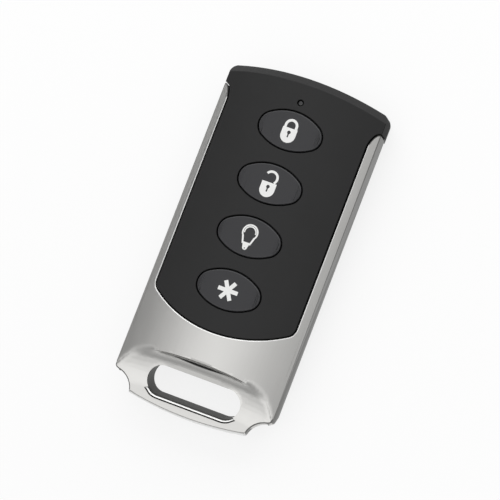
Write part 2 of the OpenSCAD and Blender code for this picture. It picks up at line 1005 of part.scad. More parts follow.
module negative_contact() {
    color("gold")
        translate([0, cell_y, 0]) {
            translate([0, 0, board_z - contact_h / 2])
                cylinder(d = contact_d, h = contact_h / 2);
            translate([0, 0, cell_top])
                cylinder(d1 = contact_d / 3, d2 = contact_d * 0.7, h = contact_h);
        }
}

module case_screw() {
    shank_l = rear_h - head_seat_z + screw_grip;
    difference() {
        union() {
            translate([0, 0, head_seat_z - head_h])
                cylinder(d = head_d, h = head_h);
            translate([0, 0, head_seat_z - over / 2])
                cylinder(d = screw_d, h = shank_l + over / 2);
        }
        for (turn = [0, 90])
            translate([0, 0, head_seat_z - head_h])
                rotate(turn)
                    cube([head_d * 0.6, 0.4, 1], center = true);
    }
}

module case_screws() {
    color("gray") {
        at_upper_screws()
            case_screw();
        at_tail_screws()
            case_screw();
    }
}

metal_surround();
front_cover();
rear_cover();
lock_button();
unlock_button();
light_button();
star_button();
lock_plunger();
unlock_plunger();
light_plunger();
star_plunger();
lock_snap_dome();
unlock_snap_dome();
light_snap_dome();
star_snap_dome();
switch_bases();
switch_covers();
switch_terminals();
circuit_board();
encoder_chip();
chip_leads();
saw_resonator();
rf_transistor();
chip_passives();
antenna_track();
status_led();
light_pipe();
cell_can();
cell_gasket();
cell_cap();
battery_clip();
negative_contact();
case_screws();
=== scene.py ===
# %% [markdown]
# # An alarm key fob
#
# This lesson dresses the solids of a small alarm remote: a cast metal surround with a key
# ring loop, black covers, and four oval keys with white signs. The solids come from the
# frame at their real size, in metres, so nothing here is moved or resized. We give the
# pieces that show their rounded edges, print the signs, and give each piece its finish.

# %% Load the solids
import json
import math

import bmesh
import bpy
from mathutils import Matrix, Vector

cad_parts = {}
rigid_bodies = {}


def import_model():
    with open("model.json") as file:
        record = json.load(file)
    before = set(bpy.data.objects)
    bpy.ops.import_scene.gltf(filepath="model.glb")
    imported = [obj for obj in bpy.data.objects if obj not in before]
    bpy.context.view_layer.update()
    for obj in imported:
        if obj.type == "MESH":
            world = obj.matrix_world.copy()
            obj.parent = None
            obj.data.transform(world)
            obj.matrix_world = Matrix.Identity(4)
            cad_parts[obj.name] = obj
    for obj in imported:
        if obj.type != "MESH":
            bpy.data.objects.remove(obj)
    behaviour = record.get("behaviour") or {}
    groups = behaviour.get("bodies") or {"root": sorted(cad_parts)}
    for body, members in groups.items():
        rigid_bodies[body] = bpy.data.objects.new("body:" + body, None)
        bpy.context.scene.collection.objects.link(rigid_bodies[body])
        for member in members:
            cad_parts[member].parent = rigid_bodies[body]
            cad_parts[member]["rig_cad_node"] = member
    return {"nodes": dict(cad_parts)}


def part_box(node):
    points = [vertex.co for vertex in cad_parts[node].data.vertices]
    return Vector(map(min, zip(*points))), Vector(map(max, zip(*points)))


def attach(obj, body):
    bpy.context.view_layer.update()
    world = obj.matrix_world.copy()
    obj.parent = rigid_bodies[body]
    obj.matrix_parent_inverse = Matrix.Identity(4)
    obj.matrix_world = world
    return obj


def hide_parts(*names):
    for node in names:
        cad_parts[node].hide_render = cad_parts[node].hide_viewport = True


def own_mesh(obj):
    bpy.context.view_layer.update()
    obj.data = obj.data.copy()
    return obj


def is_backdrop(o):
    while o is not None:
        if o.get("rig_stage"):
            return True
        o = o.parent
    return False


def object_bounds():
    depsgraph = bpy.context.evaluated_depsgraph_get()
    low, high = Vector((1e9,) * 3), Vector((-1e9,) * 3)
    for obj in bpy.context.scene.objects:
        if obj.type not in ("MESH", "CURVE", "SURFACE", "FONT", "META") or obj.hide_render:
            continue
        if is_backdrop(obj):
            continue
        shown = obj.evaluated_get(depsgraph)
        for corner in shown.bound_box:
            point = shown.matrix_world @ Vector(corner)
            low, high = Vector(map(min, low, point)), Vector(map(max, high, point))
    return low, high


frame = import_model()
solid_low, solid_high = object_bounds()
MM = 0.001
print("solids:", len(frame["nodes"]), "size in mm:", [round(s / MM, 2) for s in solid_high - solid_low])

# %% [markdown]
# ## The camera
#
# The fob was photographed from above with a long lens. Four ovals of known size and the
# outline give the angles: the camera leans to the right and a little to the loop end, and
# the picture is turned. A camera could be aimed with a constraint, but here its three axes
# are written out, because a turn about the line of sight is then just one more angle.

# %% Camera
LEAN_RIGHT = math.radians(14.09)
LEAN_TO_LOOP = math.radians(6)
TURN = math.radians(21.116)
DISTANCE = 564.5 * MM
LENS = 208.33
AIM = Vector((0, -0.04 * MM, 6 * MM))
RAISE = 0.234 * MM
SLIDE = -0.081 * MM

to_camera = Vector((math.tan(LEAN_RIGHT), -math.tan(LEAN_TO_LOOP), 1)).normalized()
fob_up = (Vector((0, 1, 0)) - to_camera * to_camera.y).normalized()
fob_right = fob_up.cross(to_camera)
image_right = fob_right * math.cos(TURN) + fob_up * math.sin(TURN)
image_up = fob_up * math.cos(TURN) - fob_right * math.sin(TURN)

bpy.ops.object.camera_add()
camera = bpy.context.object
camera.name = "photo_camera"
camera.data.lens = LENS
place = Matrix((image_right, image_up, to_camera)).transposed().to_4x4()
place.translation = AIM + to_camera * DISTANCE + image_up * RAISE + image_right * SLIDE
camera.matrix_world = place
bpy.context.scene.camera = camera
print("camera at", [round(c, 3) for c in place.translation])

# %% [markdown]
# ## Shaders as sums
#
# A finish is a small graph of nodes. Written link by link, it is hard to read, so a socket
# is wrapped in a class that knows Python's operators: an expression then adds its own Math
# nodes. One method adds every other node: its type, its settings, and its sockets.

# %% A shader's values and nodes


class Value:
    """One output socket of a shader, on which +, -, * and ** add Math nodes."""

    def __init__(self, shader, socket):
        self.shader = shader
        self.socket = socket

    def math(self, operation, first, second):
        return self.shader.add("ShaderNodeMath", {"operation": operation}, {0: first, 1: second})

    def __add__(self, other):
        return self.math("ADD", self, other)

    __radd__ = __add__

    def __sub__(self, other):
        return self.math("SUBTRACT", self, other)

    def __rsub__(self, other):
        return self.math("SUBTRACT", other, self)

    def __mul__(self, other):
        return self.math("MULTIPLY", self, other)

    __rmul__ = __mul__

    def __pow__(self, other):
        return self.math("POWER", self, other)


class Shader:
    """The node tree of a material or of the world."""

    def __init__(self, tree):
        self.tree = tree

    def add(self, kind, settings, sockets, output=0):
        """Adds a node with its settings and sockets, and gives one of its outputs."""
        node = self.tree.nodes.new(kind)
        for name, setting in settings.items():
            setattr(node, name, setting)
        for name, value in sockets.items():
            self.feed(node.inputs[name], value)
        return Value(self, node.outputs[output])

    def feed(self, socket, value):
        """Links a value to a socket, or sets the socket's constant."""
        if isinstance(value, Value):
            self.tree.links.new(value.socket, socket)
        else:
            socket.default_value = value


class Finish(Shader):
    """A material: a Principled shader with its constants, and patterns on Object coordinates."""

    def __init__(self, name, **constants):
        self.material = bpy.data.materials.new(name)
        self.material.use_nodes = True
        super().__init__(self.material.node_tree)
        self.surface = self.tree.nodes["Principled BSDF"]
        for socket, value in constants.items():
            self.surface.inputs[socket.replace("_", " ")].default_value = value
        self.place = self.add("ShaderNodeTexCoord", {}, {}, "Object")

    def noise(self, size, detail=2.0, stretch=(1, 1, 1)):
        """Clouds whose spots are about a size across, drawn out along an axis by its stretch."""
        scale = [1 / (size * s) for s in stretch]
        turned = self.add("ShaderNodeMapping", {}, {"Vector": self.place, "Scale": scale})
        return self.add("ShaderNodeTexNoise", {}, {"Vector": turned, "Scale": 1, "Detail": detail})

    def between(self, low, high, mask):
        """A colour from low to high as the mask goes from 0 to 1."""
        low, high = (end if isinstance(end, Value) else (*end, 1) for end in (low, high))
        return self.add("ShaderNodeMix", {"data_type": "RGBA"}, {0: mask, 6: low, 7: high}, 2)

    def bump(self, height, depth, strength):
        """A relief from a height, so many metres deep where the height is 1."""
        return self.add("ShaderNodeBump", {},
                        {"Height": height, "Distance": depth, "Strength": strength})

    def wear(self, **inputs):
        """Feeds the surface's sockets, and gives the material."""
        for socket, value in inputs.items():
            self.feed(self.surface.inputs[socket.replace("_", " ")], value)
        return self.material


print("shader kit ready")

# %% [markdown]
# ## Floor and light
#
# The fob lies on a plain white table under soft light. Metal shows what is around it, so the
# surroundings matter more than the lamps. Three glows overhead give the crowned metal its change
# from light to dark and brighten the loop's plate. A pale wall beside the right shoulder and one
# beyond the loop draw thin lines on the edges that face them. A soft box stands beyond the
# shoulder end, where the wide faces do not mirror it to this camera, and brings a level surface
# up to the light at which a colour renders about as it is written. The table should look white,
# as in a picture that was cut out, so what the camera and the metal see of it is mostly a plain
# white: the shadow stays, only paler, and no lamp has to grow for it.

# %% Floor
TABLE_SIZE = 6
TABLE_GAP = 0.02 * MM
PAPER_CLOUD = 80 * MM
WHITER = 0.8
bpy.ops.object.select_all(action="DESELECT")
bpy.ops.mesh.primitive_plane_add(size=TABLE_SIZE, location=(0, 0, -TABLE_GAP))
table = bpy.context.object
table.name = "table"
table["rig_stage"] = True
paper = Finish("white_table", Roughness=0.9, Specular_IOR_Level=0.1)
table.data.materials.append(paper.wear(
    Base_Color=paper.between((0.94, 0.94, 0.94), (0.97, 0.97, 0.97), paper.noise(PAPER_CLOUD))))
rays = [paper.add("ShaderNodeLightPath", {}, {}, "Is " + kind + " Ray")
        for kind in ("Camera", "Glossy", "Transmission")]
seen = paper.add("ShaderNodeClamp", {}, {"Value": rays[0] + rays[1] + rays[2]})
plain = paper.add("ShaderNodeEmission", {}, {"Strength": 1.0})
lit = Value(paper, paper.surface.outputs[0])
mixed = paper.add("ShaderNodeMixShader", {}, {0: WHITER * seen, 1: lit, 2: plain})
paper.feed(paper.tree.nodes["Material Output"].inputs["Surface"], mixed)
print("table added")

# %% Dome, walls and soft box
LOW_SKY = 0.29
# Each glow has a level, a power and an axis, and each wall a level and an axis.
GLOWS = [
    (0.85, 8, (-0.17, -0.15, 0.97)),
    (0.25, 4, (0.35, 0.1, 0.93)),
    (0.7, 24, (-0.2, -0.3, 0.93)),
]
WALLS = [(0.9, (0.7, 0.7, 0)), (0.5, (0, -1, 0))]
BOX_SIZE = (1.3, 0.65)
BOX_PLACE = Vector((-0.12, 0.56, 0.43))
BOX_LEVEL = 1.6

world = bpy.context.scene.world or bpy.data.worlds.new("dome")
bpy.context.scene.world = world
world.use_nodes = True
sky = Shader(world.node_tree)
aim = sky.add("ShaderNodeTexCoord", {}, {}, "Generated")


def glow(axis, power):
    """A glow about an axis, the narrower the higher its power."""
    toward = sky.add("ShaderNodeVectorMath", {"operation": "DOT_PRODUCT"},
                     {0: aim, 1: Vector(axis).normalized()}, 1)
    return sky.add("ShaderNodeClamp", {}, {"Value": toward}) ** power


low_down = (1 - glow((0, 0, 1), 1)) ** 2
light = LOW_SKY + sum(level * glow(axis, power) for level, power, axis in GLOWS)
light = light + sum(level * glow(axis, 1) * low_down for level, axis in WALLS)
sky.feed(sky.tree.nodes["Background"].inputs["Strength"], light)
sky.tree.nodes["Background"].inputs["Color"].default_value = (1, 1, 1, 1)

bpy.ops.object.light_add(type="AREA", location=BOX_PLACE)
soft_box = bpy.context.object
soft_box.name = "soft_box"
soft_box.data.shape = "RECTANGLE"
soft_box.data.size, soft_box.data.size_y = BOX_SIZE
soft_box.data.energy = BOX_LEVEL * math.pi * BOX_SIZE[0] * BOX_SIZE[1]
soft_box.rotation_euler = BOX_PLACE.to_track_quat("Z", "Y").to_euler()
print("soft box watts:", round(soft_box.data.energy, 2))
bpy.context.scene.view_settings.view_transform = "Standard"

# %% [markdown]
# ## Rounding the edges of a solid
#
# No cast or moulded edge is sharp: a narrow rounding catches the light and says what the
# piece is made of. The solid itself stays as it is, so we take a copy, weld its loose
# triangles and dissolve the ones that lie in a plane. Then the edges that show are picked
# by their place and bevelled, and weighted normals keep the wide faces even. The front is one
# crown of a known radius, so the normals on it are turned straight away from its axis.

# %% Helpers: a copy of a solid, and bevels by place
WELD = 0.001 * MM
FLAT = math.radians(0.2)
SHARP = math.radians(24)
ROUND = math.radians(32)
CROWN_R = 42 * MM
CROWN_NEAR = 0.06 * MM
CROWN_REACH = math.radians(14)
KEY_PROUD = 0.1 * MM
key_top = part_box("lock_button")[1].z
crown_z = key_top - KEY_PROUD - CROWN_R


def copy_of(node, name, *finishes):
    """A welded copy of a CAD node, as an object of its own, with the finishes it will need."""
    bpy.ops.object.select_all(action="DESELECT")
    solid = frame["nodes"][node]
    solid.select_set(True)
    bpy.context.view_layer.objects.active = solid
    bpy.ops.object.duplicate()
    piece = bpy.context.object
    bpy.ops.object.parent_clear(type="CLEAR_KEEP_TRANSFORM")
    piece.name = piece.data.name = name
    del piece["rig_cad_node"]
    piece.data.materials.clear()
    for finish in finishes:
        piece.data.materials.append(finish)
    bpy.ops.mesh.customdata_custom_splitnormals_clear()
    bpy.ops.object.mode_set(mode="EDIT")
    bpy.ops.mesh.select_all(action="SELECT")
    bpy.ops.mesh.remove_doubles(threshold=WELD)
    bpy.ops.mesh.dissolve_limited(angle_limit=FLAT)
    bpy.ops.object.mode_set(mode="OBJECT")
    return piece


def bevel_where(piece, wanted, width, segments=3, finish=0):
    """Bevels the sharp edges for which wanted(middle in mm, normals) holds."""
    bpy.context.view_layer.objects.active = piece
    bpy.ops.object.mode_set(mode="EDIT")
    bpy.ops.mesh.select_all(action="DESELECT")
    bpy.context.tool_settings.mesh_select_mode = (False, True, False)
    mesh = bmesh.from_edit_mesh(piece.data)
    picked = 0
    for edge in mesh.edges:
        if len(edge.link_faces) == 2 and edge.calc_face_angle(0) > SHARP:
            middle = (edge.verts[0].co + edge.verts[1].co) / (2 * MM)
            if wanted(middle, [face.normal for face in edge.link_faces]):
                edge.select = True
                picked += 1
    bmesh.update_edit_mesh(piece.data)
    bpy.ops.mesh.bevel(offset=width, segments=segments, profile=0.5, affect="EDGES",
                       clamp_overlap=False, material=finish)
    bpy.ops.object.mode_set(mode="OBJECT")
    return picked


def smooth(piece, radius=CROWN_R):
    """Smooth shading within rounded forms, with the wide faces kept even and the crown true."""
    bpy.ops.object.select_all(action="DESELECT")
    piece.select_set(True)
    bpy.context.view_layer.objects.active = piece
    bpy.ops.object.shade_smooth_by_angle(angle=ROUND)
    even = piece.modifiers.new("even", "WEIGHTED_NORMAL")
    even.keep_sharp = True
    bpy.ops.object.modifier_apply(modifier=even.name)
    mesh = piece.data
    normals = [corner.vector.copy() for corner in mesh.corner_normals]
    for loop in mesh.loops:
        point = mesh.vertices[loop.vertex_index].co
        away = Vector((point.x, 0, point.z - crown_z))
        on_crown = abs(away.length - radius) < CROWN_NEAR
        if on_crown and normals[loop.index].angle(away) < CROWN_REACH:
            normals[loop.index] = away.normalized()
    mesh.normals_split_custom_set(normals)


def dress(piece, body, stands_for=()):
    """Gives a piece its body, and the nodes that it stands for."""
    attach(piece, body)
    if stands_for:
        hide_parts(*stands_for)
    print(piece.name, "faces:", len(piece.data.polygons))


print("the crown's axis in mm: z", round(crown_z / MM, 2))

# %% [markdown]
# ## Satin nickel
#
# The surround is cast, ground along its length and plated: a satin metal with faint streaks.
# Three noises make it: one drawn out along Y for the streaks, a fine grain and wide clouds. Its
# edges were polished afterwards, so the bevels take a second, smoother finish. The walls of the
# slot and the edges at the arms' tips are painted dark and dull, as painted shade. The upright
# sides keep the coarser lines of the grinding belt and are painted darker, as painted shade. A
# dark lens under the crest is painted shade, the level edge along the key ring bar is a painted
# dark reflection, and the edge beside it is painted near white as a painted highlight. The edge
# round the panel and the tail take the same painted highlight.

# %% The nickel recipe
STREAK = 0.16 * MM
STREAK_DRAWN = 60
METAL_GRAIN = 0.09 * MM
METAL_CLOUD = 7 * MM
METAL_RELIEF = 0.004 * MM
# A near black colour, painted in under the crest as painted shade.
CREST_SHADE_COLOUR = (0.03, 0.03, 0.03)


def nickel(name, dark, light, roughness, spread, streak_size=STREAK, metallic=1.0, shade_mask=None):
    """A plated metal from dark to light, with streaks along Y and a mask for painted shade."""
    metal = Finish(name, Metallic=metallic)
    streak = metal.noise(streak_size, 3, (1, STREAK_DRAWN, 1))
    grain = metal.noise(METAL_GRAIN)
    cloud = metal.noise(METAL_CLOUD)
    colour = metal.between(dark, light, 0.55 * streak + 0.45 * cloud)
    if shade_mask:
        # Painted shade is mixed into the colour where the mask is 1.
        colour = metal.between(colour, CREST_SHADE_COLOUR, shade_mask(metal))
    return metal.wear(
        Base_Color=colour,
        Roughness=roughness + spread * (0.7 * streak + 0.3 * grain),
        Normal=metal.bump(0.6 * streak + 0.4 * grain, METAL_RELIEF, 0.25))


print("a streak in mm:", round(STREAK / MM, 2), "by", round(STREAK * STREAK_DRAWN / MM, 1))

# %% Metal finishes
# The lens of painted shade under the crest, in millimetres.
SHADE_HALF_LENGTH, SHADE_HALF_HEIGHT = 6.5, 0.36
SHADE_Z, SHADE_RISE = 9.8, 0.009
SHADE_EDGE = 1.5
SATIN_TONES = (0.56, 0.555, 0.54), (0.63, 0.625, 0.61)


def painted_shade_under_crest(metal):
    """Painted shade under the crest: a thin dark lens, whose ends rise a little to the crest."""
    x, z = (metal.add("ShaderNodeSeparateXYZ", {}, {0: metal.place}, axis) * (1 / MM)
            for axis in "XZ")
    along = x * (1 / SHADE_HALF_LENGTH)
    across = (z - SHADE_Z - SHADE_RISE * x * x) * (1 / SHADE_HALF_HEIGHT)
    inside = 1 - along * along - across * across
    return metal.add("ShaderNodeClamp", {}, {"Value": SHADE_EDGE * inside})


satin_nickel = nickel("satin_nickel", *SATIN_TONES, 0.27, 0.14)
# The scoop's nickel carries the painted shade under the crest.
scoop_nickel_painted_shade = nickel("scoop_nickel_painted_shade", *SATIN_TONES, 0.27, 0.14, shade_mask=painted_shade_under_crest)
polished_nickel = nickel("polished_nickel", (0.64, 0.635, 0.62), (0.70, 0.695, 0.68), 0.1, 0.06)
# Dark, dull metal painted on the slot's walls and the arms' tip edges: painted shade.
painted_shade_metal = nickel("painted_shade_metal", (0.10, 0.10, 0.097), (0.15, 0.15, 0.147), 0.5, 0.2)
# Upright sides: coarser grinding streaks, which are real, and a darker tone, which is painted shade.
ground_side_painted_shade = nickel("ground_side_painted_shade", (0.155, 0.154, 0.15), (0.255, 0.253, 0.247), 0.34, 0.16, 0.3 * MM)
# A near black line on the bar's level edge: a painted dark reflection.
painted_dark_reflection = nickel("painted_dark_reflection", (0.02, 0.02, 0.02), (0.04, 0.04, 0.039), 0.55, 0.2)
# A near white, half metallic edge: a painted highlight.
painted_highlight_edge = nickel("painted_highlight_edge", (0.88, 0.88, 0.87), (0.93, 0.93, 0.92), 0.3, 0.1, metallic=0.4)
METAL = [satin_nickel, polished_nickel, painted_shade_metal, ground_side_painted_shade, painted_dark_reflection, painted_highlight_edge,
         scoop_nickel_painted_shade]
SATIN, POLISHED, SHADE_METAL, SHADED_SIDE, DARK_REFLECTION, HIGHLIGHT_EDGE, SCOOP = range(len(METAL))
print("nickel finishes made:", len(METAL))

# %% [markdown]
# ## The metal surround
#
# Where the crown breaks off into the scoop, the real crest is crisp in the middle and fades
# out towards the sides, as a belt leaves it. A bevel cannot grow so wide over the narrow
# facets of the scoop. So the crown is only cut into strips near the crest, and the normals
# on both sides of it are then blended, over a distance that grows from the middle outwards.
# The key ring bar is nearly level, so its facets are joined before the slot's edge is bevelled,
# and so are the ends of two arcs at the loop's corners, which lie closer than the bevel is wide.
# Places on the surround are written in millimetres, and a tilt is a part of a face's normal.

# %% The surround's copy, cut into strips near the crest
CREST_Y = (-29.5, -23.6)
CREST_NEAR = 1.5
CRISP_X = 4.5
CROWN_LOW, CROWN_TILT = 7.9, 0.88
STRIP = 0.45
STRIPS_ALONG, STRIPS_ASIDE = 18, 26
STRIPS_FROM_Y = CREST_Y[1] + 2
TIGHT = 0.0001 * MM

surround = copy_of("metal_surround", "surround", *METAL)
cuts = [("Y", STRIPS_FROM_Y - STRIP * step) for step in range(STRIPS_ALONG)]
cuts += [("X", side * (CRISP_X + STRIP * step)) for step in range(STRIPS_ASIDE) for side in (-1, 1)]
bpy.context.view_layer.objects.active = surround
bpy.ops.object.mode_set(mode="EDIT")
bpy.context.tool_settings.mesh_select_mode = (False, False, True)
for axis, place in cuts:
    mesh = bmesh.from_edit_mesh(surround.data)
    for face in mesh.faces:
        near_crest = min(corner.co.y for corner in face.verts) < (CREST_Y[1] + CREST_NEAR) * MM
        on_crown = face.normal.z > CROWN_TILT and face.calc_center_median().z > CROWN_LOW * MM
        face.select_set(near_crest and on_crown)
    mesh.select_flush_mode()
    bmesh.update_edit_mesh(surround.data)
    along = Vector((axis == "X", axis == "Y", 0))
    bpy.ops.mesh.bisect(plane_co=along * place * MM, plane_no=along, threshold=TIGHT)
bpy.ops.object.mode_set(mode="OBJECT")
print("faces after the cuts:", len(surround.data.polygons))

# %% Facets joined along the bar, and arcs joined at the loop's corners
SLOT_X, SLOT_Y = 10.2, (-33.6, -25.6)
SLOT_TURN = 0.8
BAR_Y = -31.7
LEVEL = 0.95
NOTCH = (15.85, -30.5)
NOTCH_REACH = (0.03, 0.1)
NOTCH_STEP = 0.06 * MM

bpy.ops.object.mode_set(mode="EDIT")
bpy.ops.mesh.select_all(action="DESELECT")
bpy.context.tool_settings.mesh_select_mode = (False, True, False)
mesh = bmesh.from_edit_mesh(surround.data)
for edge in mesh.edges:
    spot = (edge.verts[0].co + edge.verts[1].co) / (2 * MM)
    level = all(face.normal.z > LEVEL for face in edge.link_faces)
    edge.select_set(level and spot.y < BAR_Y and abs(spot.x) < SLOT_X - SLOT_TURN)
bmesh.update_edit_mesh(surround.data)
bpy.ops.mesh.dissolve_edges()
bpy.ops.mesh.select_all(action="DESELECT")
bpy.context.tool_settings.mesh_select_mode = (True, False, False)
mesh = bmesh.from_edit_mesh(surround.data)
for corner in mesh.verts:
    off_x = abs(abs(corner.co.x / MM) - NOTCH[0])
    off_y = abs(corner.co.y / MM - NOTCH[1])
    corner.select_set(off_x < NOTCH_REACH[0] and off_y < NOTCH_REACH[1])
bmesh.update_edit_mesh(surround.data)
bpy.ops.mesh.remove_doubles(threshold=NOTCH_STEP)
bpy.ops.object.mode_set(mode="OBJECT")
print("faces after the joins:", len(surround.data.polygons))

# %% Edges of the surround, by their place
metal_low, metal_high = (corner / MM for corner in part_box("metal_surround"))
SCOOP_LOW = 8
CREST_SLACK = 0.5
CREST_FALL, CREST_TILT = 0.2, 0.85
BAR_FACE, BAR_TILT = 0.6, 0.9
METAL_TILT = 0.3
PLATE_LOW = 6.5
SIDE_NEAR = 0.1
LOOP_LENGTH = 6


def on_crest(middle, normals):
    """The crest, where the crown breaks off into the scoop."""
    in_reach = middle.z > SCOOP_LOW and CREST_Y[0] - CREST_SLACK < middle.y < CREST_Y[1]
    breaks_off = min(normal.y for normal in normals) < -CREST_FALL
    return in_reach and breaks_off and max(normal.z for normal in normals) > CREST_TILT


def on_slot(middle, normals):
    """The slot's edge, all round."""
    return abs(middle.x) < SLOT_X and SLOT_Y[0] < middle.y < SLOT_Y[1]


def on_bar(middle, normals):
    """The slot's upper edge along the key ring bar."""
    along_bar = on_slot(middle, normals) and max(normal.y for normal in normals) > BAR_FACE
    return along_bar and middle.z > PLATE_LOW and max(normal.z for normal in normals) > BAR_TILT


def on_metal(middle, normals):
    """The other edges that show: round the panel, along the sides and round the loop."""
    faces_up = max(normal.z for normal in normals) > METAL_TILT
    at_side = abs(middle.x) > metal_high.x - SIDE_NEAR or middle.y < metal_low.y + LOOP_LENGTH
    other = not (on_crest(middle, normals) or on_slot(middle, normals))
    return other and ((faces_up and middle.z > PLATE_LOW) or at_side)


print("surround in mm:", [round(side, 2) for side in metal_high - metal_low])

# %% The crest's points, and the bevels
CREST_ANGLE = math.radians(10)
METAL_EDGE, METAL_STEPS = 0.24 * MM, 3
BAR_EDGE, BAR_STEPS = 0.75 * MM, 4

crest = []
mesh = bmesh.new()
mesh.from_mesh(surround.data)
for edge in mesh.edges:
    if len(edge.link_faces) == 2 and edge.calc_face_angle(0) > CREST_ANGLE:
        middle = (edge.verts[0].co + edge.verts[1].co) / (2 * MM)
        if on_crest(middle, [face.normal for face in edge.link_faces]):
            scoop_side = min(edge.link_faces, key=lambda face: face.normal.y)
            crest.append((middle, scoop_side.normal.copy()))
mesh.free()
edge_count = bevel_where(surround, on_metal, METAL_EDGE, METAL_STEPS, POLISHED)
slot_count = bevel_where(surround, on_bar, BAR_EDGE, BAR_STEPS, POLISHED)
print("points on the crest:", len(crest), "edges:", edge_count, "along the bar:", slot_count)

# %% Normals that fade the crest out
CRISP, FADED = 0.15, 1.6
FADED_X = 12.5
FADE_IN = 4
BLEND_LOW, BLEND_Y = 7.5, (CREST_Y[0] - 2, CREST_Y[1] + 2.5)


def ramp(value):
    """A soft step from 0 to 1."""
    value = min(max(value, 0), 1)
    return value * value * (3 - 2 * value)


smooth(surround)
faces_of = {corner: face for face in surround.data.polygons for corner in face.loop_indices}
normals = [corner.vector.copy() for corner in surround.data.corner_normals]
blended = 0
for corner in surround.data.loops:
    point = surround.data.vertices[corner.vertex_index].co / MM
    near_crest = BLEND_Y[0] < point.y < BLEND_Y[1] and point.z > BLEND_LOW
    if near_crest and normals[corner.index].z > 0:
        spot, scoop_normal = min(crest, key=lambda entry: abs(entry[0].x - point.x))
        reach = CRISP + (FADED - CRISP) * ramp((abs(point.x) - CRISP_X) / (FADED_X - CRISP_X))
        share = 0.5 * ramp(1 - math.hypot(point.y - spot.y, point.z - spot.z) / reach)
        share *= ramp((abs(point.x) - CRISP_X) / FADE_IN)
        if share > 0:
            on_crown = faces_of[corner.index].normal.y > -0.1
            crown_normal = Vector((point.x * MM, 0, point.z * MM - crown_z)).normalized()
            other = scoop_normal if on_crown else crown_normal
            normals[corner.index] = normals[corner.index].lerp(other, share).normalized()
            blended += 1
surround.data.normals_split_custom_set(normals)
print("corners blended:", blended)

# %% The surround's finishes
TAIL_Y = -33.6
TIP_Y = 27.1
SCOOP_X = 9
SIDE_BAND = 0.3
EDGE_TILT, RIM_TILT, SIDE_TILT, UPRIGHT = 0.8, 0.6, 0.85, 0.5


def finish_of(face):
    """The finish of a face by its place, its tilt, and whether it is a polished edge."""
    spot, tilt = face.center / MM, face.normal
    edge = face.material_index == POLISHED
    in_slot = on_slot(spot, [tilt])
    in_scoop = abs(spot.x) < SCOOP_X and CREST_Y[0] < spot.y < CREST_Y[1] and spot.z > SCOOP_LOW
    outside = abs(spot.x) > metal_high.x - SIDE_BAND or (spot.y < CREST_Y[1] and not in_slot)
    # The scoop's faces, which carry the painted shade under the crest.
    if in_scoop and tilt.y < -UPRIGHT and not edge:
        return SCOOP
    # The bar edge's level faces take the painted dark reflection.
    if in_slot and edge and tilt.z > LEVEL:
        return DARK_REFLECTION
    # The bar edge's next faces take the painted highlight.
    if in_slot and edge and tilt.z > EDGE_TILT:
        return HIGHLIGHT_EDGE
    # The slot's walls and its other edges take the dark painted shade.
    if in_slot and (edge or abs(tilt.z) < UPRIGHT):
        return SHADE_METAL
    # The edges at the arms' tips take the same dark painted shade.
    if edge and spot.y > TIP_Y:
        return SHADE_METAL
    # The edge round the panel takes the painted highlight.
    if edge and not outside and tilt.z > RIM_TILT:
        return HIGHLIGHT_EDGE
    # The tail and its edges take the painted highlight.
    if spot.y < TAIL_Y and (edge or tilt.y < -UPRIGHT):
        return HIGHLIGHT_EDGE
    # Outer sides and their edges take the darker painted shade.
    if outside and (edge or abs(tilt.x) > SIDE_TILT):
        return SHADED_SIDE
    return POLISHED if edge else SATIN


dress(surround, "case", ["metal_surround"])
for face in surround.data.polygons:
    face.material_index = finish_of(face)
print("faces by finish:", [sum(face.material_index == index for face in surround.data.polygons)
                           for index in range(len(METAL))])

# %% [markdown]
# ## Black covers
#
# The covers are moulded in black plastic with a fine matte texture. A spark-eroded mould
# leaves a grain of about a tenth of a millimetre, so one fine noise sets the bump, and a
# second, wider one shifts the shade a little, as handling does.

# %% Plastic finishes
MOULD_GRAIN = 0.12 * MM
HANDLING = 6 * MM


def moulded(name, dark, light, roughness, grain_depth, **constants):
    """A moulded plastic with the mould's grain, and clouds that come from handling."""
    plastic = Finish(name, **constants)
    grain = plastic.noise(MOULD_GRAIN)
    cloud = plastic.noise(HANDLING)
    return plastic.wear(
        Base_Color=plastic.between(dark, light, 0.5 * grain + 0.5 * cloud),
        Roughness=roughness + 0.1 * (grain - 0.5) + 0.06 * (cloud - 0.5),
        Normal=plastic.bump(grain, grain_depth, 0.35))


cover_black = moulded("cover_black", (0.016, 0.016, 0.016), (0.023, 0.023, 0.0235), 0.5,
                      0.006 * MM, Specular_IOR_Level=0.22)
# The covers' sideways faces take this darker, less glossy black: painted shade.
side_painted_shade = moulded("side_painted_shade", (0.008, 0.008, 0.008), (0.012, 0.012, 0.0125), 0.6,
                     0.008 * MM, Specular_IOR_Level=0.08)
key_black = moulded("key_black", (0.030, 0.030, 0.0325), (0.038, 0.038, 0.041), 0.46,
                    0.004 * MM, Specular_IOR_Level=0.3)
key_rim = moulded("key_rim", (0.042, 0.042, 0.045), (0.05, 0.05, 0.053), 0.38,
                  0.002 * MM, Specular_IOR_Level=0.35)
print("plastic finishes made")

# %% Front panel
FRONT_LOW, FRONT_TILT = 7.2, 0.4
FRONT_EDGE = 0.12 * MM
SIDEWAYS = 0.7
front = copy_of("front_cover", "front_panel", cover_black, side_painted_shade)


def on_front(middle, normals):
    """The front cover's outer edges: round the keys, the panel, the shoulders and the bevel."""
    upwards = max(normal.z for normal in normals) > FRONT_TILT and middle.z > FRONT_LOW
    beside = max(abs(normal.x) for normal in normals) > SIDE_TILT
    corner = beside and max(normal.y for normal in normals) > UPRIGHT
    return upwards and not corner


count = bevel_where(front, on_front, FRONT_EDGE)
smooth(front)
dress(front, "case", ["front_cover"])
# Faces turned sideways take the darker black, as painted shade.
for face in front.data.polygons:
    face.material_index = int(abs(face.normal.x) > SIDEWAYS)
print("edges bevelled:", count)

